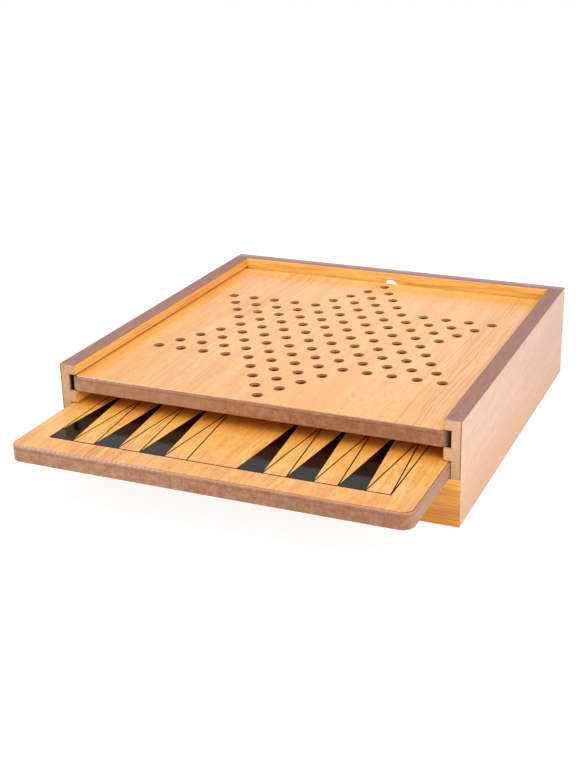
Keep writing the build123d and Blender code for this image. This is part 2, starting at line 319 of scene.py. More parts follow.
print("case top and front in mm:", round(case_top / MM, 1), round(case_front / MM, 1))

# %% [markdown]
# ## A board's outline
#
# The stain on a board follows its outline all the way round, also round the corners, so a finish has to
# know how far inside the outline a point lies. A painted mask would need a picture and a UV map. A
# rectangle with round corners has an exact distance instead: fold the board to one quarter, take the
# middle of the corner's arc away, and measure what is left.

# %% Measure from a board's outline
BOARD_CORNER_R = 8.5 * MM


def to_outline(tree, board):
    """Distance from a board's outline, in metres: less than zero inside it."""
    low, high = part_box(board)
    half = (high - low) / 2
    folded = vector_maths("ABSOLUTE", vector_maths("SUBTRACT", spot_on(tree), (low + high) / 2))
    past = vector_maths("SUBTRACT", folded, (half.x - BOARD_CORNER_R, half.y - BOARD_CORNER_R, 1.0))
    corner = vector_maths("LENGTH", vector_maths("MAXIMUM", past, (0, 0, 0)), output="Value")
    axes = put(tree, "ShaderNodeSeparateXYZ", {"Vector": past}).outputs
    inside = maths("MINIMUM", maths("MAXIMUM", axes["X"], axes["Y"]), 0.0)
    return maths("SUBTRACT", plus(corner, inside), BOARD_CORNER_R)


print("a board's corner radius in mm:", round(BOARD_CORNER_R / MM, 1))

# %% [markdown]
# ## The routed rounding
#
# A router rounds each board's upper edge, and the wiping cloth takes some of the stain off it again. The
# star board was wiped well, and the thin cream line on the left of its rounding is a painted highlight.
# The left part of the lower board kept its dust and the router's marks, one for each small feed, and
# the paleness of the marks is partly painted highlight. A sine of the distance gives such marks, and
# noise added to it keeps them from being as even as a comb.

# %% Say how a board's routed edge looks
EDGE_BROWN = tone(180, 124, 85)
EDGE_SHADE = tone(132, 83, 54)
EDGE_LINE = tone(112, 66, 38)       # the step that the router left under the rounding
EDGE_DUST_AND_LIGHT = tone(192, 148, 118)    # dry stain with sanding dust in it, also laid on faces that look right as painted light
# pale chips, and the pale router marks on the lower board's rounding, partly as painted highlight
EDGE_PALE = tone(186, 148, 126)
LEFT_CORNER_PAINTED_LIGHT = tone(226, 186, 158)     # painted light on the front left corners, on faces that look left
EDGE_PAINTED_HIGHLIGHT = tone(226, 184, 150)    # painted highlight along the very edge of the veneer
ROUND_OVER = 1.8 * MM               # how far a board's upper rounding reaches down
TICK_PITCH = 3.6 * MM               # how far the router was fed between two marks


def dusty_part(tree):
    """1 on the left of a board's front edge, 0 where the wiping was better."""
    place = place_on(tree)
    drift = marks(place["X"], place["Z"], 25, 25, seed=9.0)
    along = plus(place["X"], times(drift, 50 * MM))
    return fade(along, 30 * MM, -25 * MM)


def wiped_rounding(tree, board):
    """The upper rounding of a board that was wiped well: a painted highlight as a thin cream line, a dark
    line, then the stain.
    """
    outline = to_outline(tree, board)
    place = place_on(tree)
    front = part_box(board)[0].y
    mottle = specks(tree, 2.2, seed=15.0)
    dusty = times(
        fade(mottle, 0.35, 0.65),
        fade(dusty_part(tree), 0.0, 1.0, low=0.15),
        fade(place["X"], -55 * MM, -95 * MM, low=0.35),
        fade(place["Y"], front + 20 * MM, front + 10 * MM),
    )
    dark = fade(outline, -0.5 * MM, -0.1 * MM, low=0.6, high=0.0)
    dark = times(dark, fade(mottle, 0.6, 0.3, low=0.3))
    stain = layered(EDGE_SHADE, (dusty, EDGE_DUST_AND_LIGHT), (dark, EDGE_LINE))
    wiped = blend(dusty_part(tree), EDGE_BROWN, EDGE_PAINTED_HIGHLIGHT)
    return blend(fade(outline, -0.9 * MM, -0.6 * MM), wiped, stain)


def ticked_rounding(tree, board):
    """The upper rounding of a board whose left part is dusty, with the router's marks across it, pale
    in part as painted highlight.
    """
    place = place_on(tree)
    drift = marks(place["X"], place["Z"], 12, 30, seed=16.0)
    rough = marks(place["X"], place["Z"], 0.8, 30, seed=17.0)
    turns = plus(times(place["X"], 2 * math.pi / TICK_PITCH), times(drift, 9.0))
    ticks = plus(maths("SINE", turns), times(drift, 1.6), times(rough, 2.0))
    pale = blend(fade(ticks, 0.8, 3.0, high=0.5), EDGE_PALE, EDGE_SHADE)
    line = fade(to_outline(tree, board), -1.0 * MM, -0.5 * MM)
    clean = blend(line, EDGE_LINE, EDGE_BROWN)
    return blend(dusty_part(tree), clean, pale)


def stained_board(tree, board, reach):
    """1 from this far inside a board's outline, with the ragged line that a wiped stain leaves."""
    place = place_on(tree)
    ragged = marks(place["X"], place["Y"], 2.5, 2.5, seed=4.0)
    line = plus(to_outline(tree, board), times(ragged, 0.4 * MM), reach)
    return fade(line, 0.0, 0.35 * MM)


print("the router's marks are", round(TICK_PITCH / MM, 1), "mm apart")

# %% [markdown]
# ## Lacquered veneer
#
# Veneer is real wood half a millimetre thick, so its grain runs one way only. Seen close, four things
# make it wood and not orange card: broad bands where the tree grew faster, growth lines that gather in
# a few places, fine fibres, and pores, which are short dark dashes. A Wave texture gives bands too, but
# they repeat. Noise stretched along the grain doesn't, and the same node with another length and width
# makes all four. A last, soft mottle is the shimmer of fibres that lean this way and that.

# %% Choose the woods
def four_tones(pale, warm, line, pore):
    """A wood: its pale and warm parts, its growth lines and its pores."""
    return {"pale": tone(*pale), "warm": tone(*warm), "line": tone(*line), "pore": tone(*pore)}


STRAW = four_tones((241, 190, 127), (234, 170, 101), (208, 128, 62), (190, 120, 58))
GOLD = four_tones((248, 198, 118), (240, 178, 92), (212, 136, 58), (158, 96, 40))
HONEY = four_tones((253, 201, 108), (249, 184, 88), (228, 142, 56), (186, 108, 44))
AMBER = four_tones((255, 194, 98), (250, 172, 76), (214, 132, 64), (186, 112, 52))
BLUSH = four_tones((232, 190, 158), (222, 172, 138), (206, 150, 112), (184, 130, 96))
UMBER = four_tones((222, 150, 62), (206, 130, 46), (176, 100, 32), (140, 82, 30))
VENEER_EDGE = tone(104, 66, 46)     # veneer cut across, with its glue line
HOLE_EDGE = tone(150, 100, 58)
PUSH_HOLE_PAINTED_LIGHT = tone(255, 232, 200)        # painted light on the walls of the holes in the back, which lie in shade
EVEN = (0.25, 0.25)                 # a figure as strong at one edge of a sheet as at the other
print("woods:", len((STRAW, GOLD, HONEY, AMBER, BLUSH, UMBER)))

# %% [markdown]
# Grain bends. If every pattern reads its place across the grain through one slow wander and two small
# ones, they all bend together, as in real wood. Growth lines don't cover a sheet evenly either. A list
# of strengths, from one edge of the sheet to the other, says where they gather. A curve node could say
# it too, but a colour ramp takes the list as it stands.

# %% Bend the grain and gather its lines
def bent_grain(run, side, seed):
    """The way across the grain, with a slow wander, a wobble and a ripple in it."""
    wander = marks(run, side, 130, 45, seed=seed + 7.0, detail=1.0)
    wobble = marks(run, side, 30, 14, seed=seed + 8.0, detail=1.0)
    side = plus(side, times(wander, 9 * MM))
    ripple = marks(run, side, 11, 8, seed=seed + 9.0, detail=1.0)
    return plus(side, times(wobble, 1.6 * MM), times(ripple, 1.2 * MM))


def figure_across(across, low, high, strengths):
    """How plainly the growth lines show across the sheet, from evenly spaced strengths."""
    share = maths("DIVIDE", maths("SUBTRACT", across, low), high - low)
    ramp = put(tree_of(share), "ShaderNodeValToRGB", {"Fac": share})
    stops = ramp.color_ramp.elements
    while len(stops) < len(strengths):
        stops.new(0.5)
    for step, (stop, strength) in enumerate(zip(stops, strengths)):
        stop.position = step / (len(strengths) - 1)
        stop.color = (strength, strength, strength, 1.0)
    return ramp.outputs["Color"]


print("strengths in an even sheet:", EVEN)

# %% [markdown]
# The finish lays its patterns over each other from the broadest to the finest: bands, streaks, mottle,
# fibres, growth lines and pores. The coats come last. A coat is a tint and a place for it, multiplied
# over the wood as tinted varnish is, so the grain shows through. Stacked shaders could do the same,
# but mixed colours in a single shader render faster and are easier to follow.

# %% Make the veneer finish
def veneer(name, axes, wood, seed, across=None, figure=EVEN, lines=(60, 2.4), flecks=0.5,
           gloss=(0.3, 0.42), coats=(), stain=None, cut=None):
    """Lacquered veneer.

    axes: along the grain, across it, and through the sheet
    across, figure: the sheet's two edges, and how plainly growth lines show from one to the other
    lines: length and width of the growth lines in mm
    flecks: how plainly the pores show
    gloss: how dull the lacquer is, between the fibres and on them
    coats: pairs of where, and what tint
    stain: two functions, where, and what colour
    cut: colour of the sheet's cut edges
    """
    material, tree = new_finish(name)
    place = place_on(tree)
    run = place[axes[0]]
    side = bent_grain(run, place[axes[1]], seed)
    bands = marks(run, side, 260, 16, seed=seed)
    streaks = marks(run, side, 80, 7, seed=seed + 5.0, detail=3.0)
    growth = marks(run, side, *lines, seed=seed + 1.0, detail=3.0)
    fibres = marks(run, side, 16, 0.9, seed=seed + 2.0, detail=3.0)
    pores = marks(run, side, 7, 0.55, seed=seed + 3.0, detail=2.0)
    mottle = marks(run, side, 9, 6, seed=seed + 4.0, detail=3.0)

    strength = figure_across(place[axes[1]], *across, figure) if across else figure[0]
    line_share = times(fade(growth, 0.47, 0.66), strength)
    pore_share = fade(pores, 0.5, 0.68, high=flecks)
    colour = layered(
        wood["pale"],
        (fade(bands, 0.36, 0.66, high=0.75), wood["warm"]),
        (fade(streaks, 0.52, 0.72, high=0.36), wood["line"]),
        (fade(mottle, 0.35, 0.7, high=0.4), wood["warm"]),
        (fade(fibres, 0.42, 0.75, high=0.7), wood["warm"]),
        (fade(fibres, 0.56, 0.72, high=0.35), wood["line"]),
        (line_share, wood["line"]),
        (pore_share, wood["pore"]),
    )
    for where, tint in coats:
        colour = glaze(where(tree), colour, tint)

    face = maths("ABSOLUTE", facing_on(tree)[axes[2]])
    colour = blend(fade(face, 0.6, 0.3), colour, cut or VENEER_EDGE)
    if stain:
        where, stain_colour = stain
        colour = blend(where(tree), colour, stain_colour(tree))

    roughness = fade(fibres, 0.3, 0.8, low=gloss[0], high=gloss[1])
    height = plus(maths("SUBTRACT", fibres, times(pore_share, 0.9)), mottle)
    cover(tree, colour, roughness, height, relief=0.05 * MM)
    return material


sheet_low, sheet_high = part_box("star_board_top_veneer")
print("the star board's top veneer is", round((sheet_high.z - sheet_low.z) / MM, 2), "mm thick")

# %% [markdown]
# ## Stain on the veneer's rim
#
# Where a sheet runs into a stained edge, it takes the stain too, and each edge has its own way of it. So
# a stain is handed to the veneer as two functions: where it lies, and what colour it has there. Ready
# colours would be simpler to hand over, but a stain needs nodes in the veneer's own tree.

# %% Stain the rims of the boards' sheets
def wiped_stain(board):
    """The stain of a board that was wiped well, as veneer() takes it. The back edge took little."""
    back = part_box(board)[1].y

    def where(tree):
        inward = place_on(tree)["Y"]
        reach = fade(inward, back - 12 * MM, back - 6 * MM, low=1.25 * MM, high=-0.6 * MM)
        return stained_board(tree, board, reach)
    return where, (lambda tree: wiped_rounding(tree, board))


def ticked_stain(board):
    """The stain of a board whose left part is dusty, as veneer() takes it."""
    def where(tree):
        reach = fade(dusty_part(tree), 0.0, 1.0, low=1.2 * MM, high=1.75 * MM)
        return stained_board(tree, board, reach)
    return where, (lambda tree: ticked_rounding(tree, board))


star_stain = wiped_stain("star_board_core")
lower_stain = ticked_stain("backgammon_board_core")
print("functions in a stain:", len(star_stain))

# %% [markdown]
# The case was stained with a brush drawn from back to front, so its stain is streaky, and bare fibres
# stand out where it is thin. At the back it stops a little short of the inner edge, and dust lies on the
# front end of the right side. A picture of stained board would have streaks too, but it would repeat and
# wouldn't know where a wall ends. Streaks are the same noise as grain, only shorter and darker.

# %% Stain the top of the case
back_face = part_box("back_inner_veneer")[0].y
side_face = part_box("right_side_inner_veneer_rim")[0].x


def case_stain_colour(tree):
    """The stain on the case, from its streaks to the places where dust lies on it or it was wiped off."""
    place = place_on(tree)
    thin = marks(place["Y"], place["X"], 14, 1.6, seed=33.0, detail=4.0)
    dark = marks(place["Y"], place["X"], 30, 2.2, seed=35.0, detail=3.0)
    chips = specks(tree, 1.0, seed=34.0, detail=1.0)
    dust = times(
        fade(specks(tree, 1.3, seed=36.0, detail=4.0), 0.58, 0.69, high=0.5),
        fade(place["Y"], case_front + 40 * MM, case_front + 22 * MM),
        fade(place["X"], side_face - 7.6 * MM, side_face + 2.4 * MM),
    )
    wiped = times(
        fade(place["Y"], back_face + 1.2 * MM, back_face + 1.9 * MM, low=0.9, high=0.0),
        fade(place["Y"], back_face - 0.3 * MM, back_face - 0.1 * MM),
        fade(maths("ABSOLUTE", place["X"]), side_face + 0.4 * MM, side_face - 0.1 * MM),
    )
    return layered(
        CASE_STAIN,
        (fade(thin, 0.42, 0.72, high=0.55), tone(166, 122, 106)),
        (fade(dark, 0.5, 0.72, high=0.5), tone(112, 74, 62)),
        (fade(chips, 0.68, 0.76, high=0.6), tone(206, 176, 160)),
        (fade(place["Y"], back_face + 2.4 * MM, back_face + 8.4 * MM, high=0.45), tone(186, 158, 152)),
        (dust, tone(206, 190, 186)),
        (wiped, tone(226, 156, 92)),
    )


case_stain = (stained_case, case_stain_colour)
print("inner faces in mm: back", round(back_face / MM, 1), "side", round(side_face / MM, 1))

# %% [markdown]
# ## Tints on the boards
#
# Some tints on the boards are painted light. The star board is more amber beside the left wall and
# yellower at the right of the back wall, as painted reflection of the orange walls, and paler along the
# back wall, as painted light. The star board's shadow is painted onto the lower board. Other tints only
# say that a part is warmer or darker, and the lower board's front strip is blotched. Each such place is
# a function that gives a share, and each tint is a number for each channel, by which the wood's own
# colour is multiplied. Painted weight maps would do it as well, but then the tints would be hidden in
# data instead of standing here to be read.

# %% Say where the coats lie on the star board
star_low, star_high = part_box("star_board_core")
# Painted reflection: the star board is more amber beside the left wall, which it mirrors.
LEFT_WALL_REFLECTION_TINT = (0.99, 0.86, 0.54, 1.0)
BACK_WALL_REFLECTION_TINT = (1.0, 0.93, 0.62, 1.0)
BACK_EDGE_PAINTED_LIGHT = (1.08, 1.18, 1.2, 1.0)     # more than 1: painted light, paler than the rest
WARM_COAT = (0.97, 0.91, 0.8, 1.0)


def drifting(tree, value, seed):
    """A distance whose fades wander by up to 20 mm either way."""
    place = place_on(tree)
    drift = marks(place["Y"], place["X"], 50, 28, seed=seed)
    return plus(value, times(maths("SUBTRACT", drift, 0.5), 40 * MM))


def beside_left_wall(tree):
    """1 beside the left wall, where the amber is painted reflection of the orange wall, and 0 in the open
    and at the back.
    """
    place = place_on(tree)
    across = drifting(tree, place["X"], 81.0)
    return times(
        fade(across, star_low.x + 14 * MM, star_low.x + 78 * MM, low=1.0, high=0.0),
        fade(place["Y"], star_high.y - 30 * MM, star_high.y, low=1.0, high=0.3),
    )


# Painted reflection: the star board is yellower at the right of the back wall.
def beside_back_wall(tree):
    """1 at the right of the back wall, where the yellow is painted reflection of the wall."""
    place = place_on(tree)
    from_back = fade(drifting(tree, place["Y"], 82.0), star_high.y - 52 * MM, star_high.y - 22 * MM)
    return times(from_back, fade(place["X"], -50 * MM, 30 * MM))


def along_back_wall(tree):
    """1 on the last finger's width before the back wall, which is painted paler, as painted light."""
    return fade(place_on(tree)["Y"], star_high.y - 20 * MM, star_high.y - 6 * MM)


def toward_front(tree):
    """1 on the front third of the star board, which is warmer and a little darker."""
    return fade(place_on(tree)["Y"], star_low.y + 120 * MM, star_low.y + 20 * MM)


star_coats = (
    (beside_left_wall, LEFT_WALL_REFLECTION_TINT), (beside_back_wall, BACK_WALL_REFLECTION_TINT),
    (along_back_wall, BACK_EDGE_PAINTED_LIGHT), (toward_front, WARM_COAT),
)
print("coats on the star board:", len(star_coats))

# %% [markdown]
# The lower board's strip in front of the printed field is darker and blotched. Where the board runs
# under the star board, the star board's shadow is painted in as a deep orange tint.

# %% Say where the coats lie on the lower board
lower_low, lower_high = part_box("backgammon_board_core")
FRONT_STRIP_TINT = (0.88, 0.8, 0.74, 1.0)
BLOTCH_COAT = (0.98, 0.84, 0.7, 1.0)
STAR_SHADOW_TINT = (0.93, 0.74, 0.42, 1.0)


def front_strip(tree):
    """1 on the strip in front of the printed field, which is darker."""
    place = place_on(tree)
    drift = times(marks(place["X"], place["Y"], 30, 14, seed=83.0), 16 * MM)
    from_edge = maths("SUBTRACT", plus(place["Y"], drift), lower_low.y)
    return fade(from_edge, 20 * MM, 50 * MM, low=1.0, high=0.15)


def blotched(tree):
    """1 on broad streaks of the front strip that took up more varnish than the wood between them."""
    place = place_on(tree)
    drift = marks(place["Y"], place["X"], 70, 15, seed=84.0, detail=1.0)
    return times(fade(drift, 0.4, 0.62), fade(place["Y"], -180 * MM, -200 * MM))


# Painted shadow: the star board's shadow on the lower board is a deep orange tint.
def under_star_shadow(tree):
    """1 under the star board, fading out 12 mm in front of the case, where its shadow is painted in."""
    return fade(place_on(tree)["Y"], case_front - 12 * MM, case_front)


lower_coats = ((front_strip, FRONT_STRIP_TINT), (blotched, BLOTCH_COAT), (under_star_shadow, STAR_SHADOW_TINT))
print("coats on the lower board:", len(lower_coats))

# %% [markdown]
# ## The boards' veneer
#
# Both boards have their grain from front to back, but they were cut from different leaves, so each has
# its own wood, its own list of figure strengths and its own growth lines. Their undersides are a plain
# backing leaf, which only has to pull as hard as the face, or the board would warp.

# %% Veneer the boards
BOARD_AXES = ("Y", "X", "Z")
SATIN = (0.16, 0.24)                # how dull the lacquer is, between the fibres and on them
STAR_FIGURE = (0.2, 0.4, 0.6, 0.6, 0.35, 0.15, 0.1, 0.15, 0.1, 0.25, 0.8, 0.3)
LOWER_FIGURE = (0.3, 0.2, 0.7, 0.9, 0.35, 0.25, 0.3, 0.7, 0.6, 0.1, 0.3, 0.6, 0.35)

star_finish = veneer(
    "star_board_lacquered", BOARD_AXES, STRAW, seed=11.0, across=(star_low.x, star_high.x),
    figure=STAR_FIGURE, lines=(90, 1.6), flecks=0.38, gloss=SATIN, coats=star_coats,
    stain=star_stain, cut=HOLE_EDGE,
)
lower_finish = veneer(
    "backgammon_board_lacquered", BOARD_AXES, GOLD, seed=23.0, across=(lower_low.x, lower_high.x),
    figure=LOWER_FIGURE, lines=(40, 1.8), flecks=0.42, gloss=SATIN, coats=lower_coats,
    stain=lower_stain,
)
dress(star_finish, "star_board_top_veneer")
dress(lower_finish, "backgammon_board_top_veneer")
dress(veneer("star_board_underside", BOARD_AXES, UMBER, seed=31.0), "star_board_under_veneer")
dress(veneer("backgammon_board_underside", BOARD_AXES, UMBER, seed=37.0), "backgammon_board_under_veneer")

# %% [markdown]
# ## The backgammon field
#
# The field is screen printed: 24 long points, half of them filled and half drawn in line, inside a thin
# frame. Every point is the same shape, so Geometry Nodes makes one and repeats it. Cutting each point
# as a curve would give 24 outlines to edit. Here a change of one number moves them all.

# %% Set the sizes of the field
FIELD_WIDTH = 246.0 * MM            # outside the frame lines, across the board
POINT_LENGTH = 91.0 * MM
BAR_WIDTH = 36.0 * MM               # the plain strip between the two halves
FIELD_MARGIN = 19.9 * MM            # from the board's front and back edges to the frame
LINE_WIDTH = 0.95 * MM
INK_THICKNESS = 0.05 * MM
INK_SUNK = 0.01 * MM                # ink soaks in this far, so that it meets the veneer
WELD = 0.001 * MM                   # corners closer than this become one
POINTS_PER_HALF = 6
board_depth = lower_high.y - lower_low.y
field_depth = board_depth - 2 * FIELD_MARGIN
point_width = (FIELD_WIDTH - BAR_WIDTH) / (2 * POINTS_PER_HALF)
print("points:", 4 * POINTS_PER_HALF, "of", round(point_width / MM, 2), "mm")

# %% [markdown]
# A node group is a machine: numbers go in, and a mesh comes out. The next helpers are for building such
# a machine. The ink gets a real thickness, though it is only a twentieth of a millimetre, because a
# sheet without one would flicker where it meets the veneer.

# %% Build geometry trees
def new_group(name, inputs):
    """An empty geometry tree with named number inputs, and the outputs of its input node."""
    group = bpy.data.node_groups.new(name, "GeometryNodeTree")
    for socket, value in inputs.items():
        made = group.interface.new_socket(socket, in_out="INPUT", socket_type="NodeSocketFloat")
        made.default_value = value
    group.interface.new_socket("Geometry", in_out="OUTPUT", socket_type="NodeSocketGeometry")
    return group, group.nodes.new("NodeGroupInput").outputs


def give(group, geometry):
    """Hand a geometry to the group's output."""
    group.links.new(geometry, group.nodes.new("NodeGroupOutput").inputs[0])


def vector(group, x=0.0, y=0.0, z=0.0):
    """Three numbers as one vector."""
    return put(group, "ShaderNodeCombineXYZ", {"X": x, "Y": y, "Z": z}).outputs[0]


def joined(*parts):
    """Several geometries as one."""
    tree = tree_of(*parts)
    node = tree.nodes.new("GeometryNodeJoinGeometry")
    for part in parts:
        tree.links.new(part, node.inputs[0])
    return node.outputs[0]


def welded(shape):
    """A shape whose corners in the same place are made one."""
    inputs = {"Geometry": shape, "Distance": WELD}
    return put(tree_of(shape), "GeometryNodeMergeByDistance", inputs).outputs[0]


def turned_over(faces):
    """The same faces, looking the other way."""
    return put(tree_of(faces), "GeometryNodeFlipFaces", {"Mesh": faces}).outputs[0]


def thickened(faces, height):
    """A flat sheet made solid: its faces pushed up, and the same faces turned over to close it below."""
    tree = tree_of(faces)
    push = {"Mesh": faces, "Offset": vector(tree, z=1.0), "Offset Scale": height, "Individual": False}
    pushed = put(tree, "GeometryNodeExtrudeMesh", push).outputs[0]
    return welded(joined(pushed, turned_over(faces)))


print("ink thickness in mm:", round(INK_THICKNESS / MM, 3))

# %% [markdown]
# One point is a grid of three by two corners, bent to a V. If the inner corners go in only a little,
# the V is a drawn line. If they go all the way, they meet, and the V is a filled point. So one shape
# serves for both, where a triangle and an outline would be two to keep alike.

# %% Draw one point as a node group
POINT_SIZES = {"Width": point_width, "Length": POINT_LENGTH, "Line": LINE_WIDTH, "Height": INK_THICKNESS}
point_group, sizes_in = new_group("one_point", {**POINT_SIZES, "Filled": 0.0})
width, length = sizes_in["Width"], sizes_in["Length"]
half_width = times(width, 0.5)
slant = vector_maths("LENGTH", vector(point_group, half_width, length), output="Value")
line_share = times(sizes_in["Line"], slant)
line_share = maths("DIVIDE", line_share, times(half_width, length))
inset = maths("MAXIMUM", line_share, sizes_in["Filled"])

grid = {"Size X": 2.0, "Size Y": 1.0, "Vertices X": 3, "Vertices Y": 2}
sheet = put(point_group, "GeometryNodeMeshGrid", grid).outputs[0]
spot = put(point_group, "GeometryNodeInputPosition").outputs[0]
at = put(point_group, "ShaderNodeSeparateXYZ", {0: spot}).outputs
inner = plus(at["Y"], 0.5)          # 0 along the outside of the V, 1 along its inside
keep = maths("SUBTRACT", 1.0, times(inner, inset))
rise = maths("SUBTRACT", 1.0, maths("ABSOLUTE", at["X"]))
bent = vector(point_group, times(at["X"], half_width, keep), times(rise, length, keep))
bent_sheet = put(point_group, "GeometryNodeSetPosition", {"Geometry": sheet, "Position": bent}).outputs[0]
give(point_group, thickened(turned_over(welded(bent_sheet)), sizes_in["Height"]))
print("group:", point_group.name, len(point_group.nodes), "nodes")

# %% [markdown]
# The points stand in rows, and filled and drawn ones take turns. Instance on Points puts a copy of the
# group on each spot of a line, so the count and the spacing stay two numbers. The printed lines also
# carry a mark, because a drawn line takes less ink than a filled point, and the ink has to know.

# %% Set the points in rows
FIELD_SIZES = {"Field width": FIELD_WIDTH, "Field depth": field_depth, "Bar": BAR_WIDTH, **POINT_SIZES}
field_group, sizes_in = new_group("backgammon_field", FIELD_SIZES)
half_depth = times(sizes_in["Field depth"], 0.5)
half_field = times(sizes_in["Field width"], 0.5)
line = sizes_in["Line"]
THIN_LINE = "thin_line"


def marked(shapes, thin):
    """The same shapes with a number that tells the ink whether they are drawn lines."""
    node = put(field_group, "GeometryNodeStoreNamedAttribute", {"Geometry": shapes, "Name": THIN_LINE})
    node.inputs["Value"].default_value = thin
    return node.outputs[0]


def one_point(filled):
    """The point group, filled or drawn in line. Ink spreads a filled point by a line's width."""
    node = put(field_group, "GeometryNodeGroup", node_tree=point_group)
    for name in POINT_SIZES:
        field_group.links.new(sizes_in[name], node.inputs[name])
    if filled:
        spread = plus(sizes_in["Width"], sizes_in["Line"])
        field_group.links.new(spread, node.inputs["Width"])
    node.inputs["Filled"].default_value = filled
    return marked(node.outputs[0], 1.0 - filled)


def row_of_points(first_x):
    """Six points in a row along the front line, the first one filled."""
    start = vector(field_group, first_x, maths("SUBTRACT", line, half_depth))
    step = vector(field_group, sizes_in["Width"])
    row = {"Count": POINTS_PER_HALF, "Start Location": start, "Offset": step}
    spots = put(field_group, "GeometryNodeMeshLine", row).outputs[0]
    order = put(field_group, "GeometryNodeInputIndex").outputs[0]
    odd = maths("MODULO", order, 2.0)
    even = maths("SUBTRACT", 1.0, odd)
    points = []
    for chosen, filled in ((even, 1.0), (odd, 0.0)):
        copies = {"Points": spots, "Selection": chosen, "Instance": one_point(filled)}
        points.append(put(field_group, "GeometryNodeInstanceOnPoints", copies).outputs[0])
    return points


print("rows: 4 of", POINTS_PER_HALF, "points")

# %% [markdown]
# One half of the field is enough: turned by half a turn it is the other half, as on any backgammon
# board. So the front half gets its two rows of six, its front line and its right line, and a turned copy
# adds the rest. A mirrored copy would put the filled points on the wrong side.

# %% Add the frame and the far half
half_point = times(sizes_in["Width"], 0.5)
half_bar = times(sizes_in["Bar"], 0.5)
left_start = maths("SUBTRACT", half_point, half_field)
right_start = plus(half_bar, half_point)
side_line_depth = maths("SUBTRACT", sizes_in["Field depth"], times(line, 2.0))
middle_of_line = times(line, 0.5)


def strip(size_x, size_y, x, y):
    """A printed strip of this size, with its middle at this place."""
    grid = {"Size X": size_x, "Size Y": size_y, "Vertices X": 2, "Vertices Y": 2}
    sheet = put(field_group, "GeometryNodeMeshGrid", grid).outputs[0]
    move = {"Geometry": thickened(sheet, sizes_in["Height"]), "Translation": vector(field_group, x, y)}
    return marked(put(field_group, "GeometryNodeTransform", move).outputs[0], 1.0)


front_y = maths("SUBTRACT", middle_of_line, half_depth)
side_x = maths("SUBTRACT", half_field, middle_of_line)
front_side = joined(
    *row_of_points(left_start),
    *row_of_points(right_start),
    strip(sizes_in["Field width"], line, 0.0, front_y),
    strip(line, side_line_depth, side_x, 0.0),
)
half_turn = {"Geometry": front_side, "Rotation": (0.0, 0.0, math.pi)}
far_side = put(field_group, "GeometryNodeTransform", half_turn).outputs[0]
whole = joined(front_side, far_side)
real = put(field_group, "GeometryNodeRealizeInstances", {"Geometry": whole}).outputs[0]
print("group:", field_group.name, len(field_group.nodes), "nodes")

# %% [markdown]
# ## Screen ink
#
# The ink is dark brown rather than black, and reflects less than the lacquer round it. A flat black
# would do for a drawing, but printed ink shows the grain below it and is rubbed in patches. Where the star
# board's shadow falls, the ink is painted darker still, as painted shadow and dark reflection.

# %% Mix the ink
INK_PAINTED_SHADE = tone(16, 3, 1)         # painted shadow and dark reflection where the star board's shadow falls
THIN_INK = tone(66, 32, 10)         # a drawn line takes less ink, so the wood browns it
WARM_SHINE = (1.0, 0.92, 0.86, 1.0)


def ink(name, black, worn, seed):
    """Screen ink: thick and even, with a low shine and faint rubbed patches."""
    material, tree = new_finish(name)
    place = place_on(tree)
    rubbed = marks(place["X"], place["Y"], 26, 18, seed=seed)
    grain = marks(place["Y"], place["X"], 9, 0.5, seed=seed + 1.0)
    thin_line = put(tree, "ShaderNodeAttribute", attribute_name=THIN_LINE).outputs["Fac"]
    # Painted shadow: the ink is darker where the star board's shadow falls on it.
    star_shadow_on_ink = fade(place["Y"], case_front - 38 * MM, case_front - 10 * MM, high=0.95)
    colour = layered(
        black,
        (fade(rubbed, 0.56, 0.72, high=0.7), worn),
        (fade(grain, 0.5, 0.8, high=0.3), worn),
        (star_shadow_on_ink, INK_PAINTED_SHADE),
        (times(thin_line, 0.85), THIN_INK),
    )
    roughness = fade(grain, 0.3, 0.8, low=0.07, high=0.12)
    roughness = plus(roughness, times(thin_line, 0.4))
    shine = fade(thin_line, 0.0, 1.0, low=0.135, high=0.02)
    gloss = {"Specular_IOR_Level": shine, "Specular_Tint": WARM_SHINE}
    cover(tree, colour, roughness, grain, relief=0.005 * MM, **gloss)
    return material


ink_finish = ink("screen_ink", tone(18, 12, 9), tone(44, 28, 18), seed=71.0)
print("ink:", ink_finish.name)

# %% [markdown]
# The print becomes a mesh of its own and lies on the board's veneer, sunk in by a hundredth of a
# millimetre. It rides on the lower board, so it moves when that board is drawn out. A modifier left on
# the object would show the same, but a plain mesh can be measured and moved like any other piece. So
# the object that ran the group is taken away again.

# %% Print the field
coloured = put(field_group, "GeometryNodeSetMaterial", {"Geometry": real, "Material": ink_finish}).outputs[0]
give(field_group, coloured)

field = new_object("field_maker", bpy.data.meshes.new("field_maker"))
maker = field.modifiers.new("print", "NODES")
maker.node_group = field_group
for item in field_group.interface.items_tree:
    if item.in_out == "INPUT":
        maker[item.identifier] = FIELD_SIZES[item.name]
bpy.context.view_layer.update()
printed = bpy.data.meshes.new_from_object(field.evaluated_get(bpy.context.evaluated_depsgraph_get()))
bpy.data.objects.remove(field)

board_middle = (lower_low + lower_high) / 2
top_veneer_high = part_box("backgammon_board_top_veneer")[1].z
printed.transform(Matrix.Translation((board_middle.x, board_middle.y, top_veneer_high - INK_SUNK)))
printed.name = "backgammon_field_print"
backgammon_field = new_object("backgammon_field_print", printed)
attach(backgammon_field, "backgammon_board")
print("print:", len(printed.polygons), "faces")

# %% [markdown]
# ## Tints on the case
#
# The case has tints of its own. Its sides are rosier at the foot, as painted reflection, and darker at
# the back, as painted shade. The rail's upright face has a deeper tint than the faces that look up, and
# its upper part, in the lower board's shadow, is painted lighter, as painted light. As on the boards,
# each place is a function and each tint is three numbers.

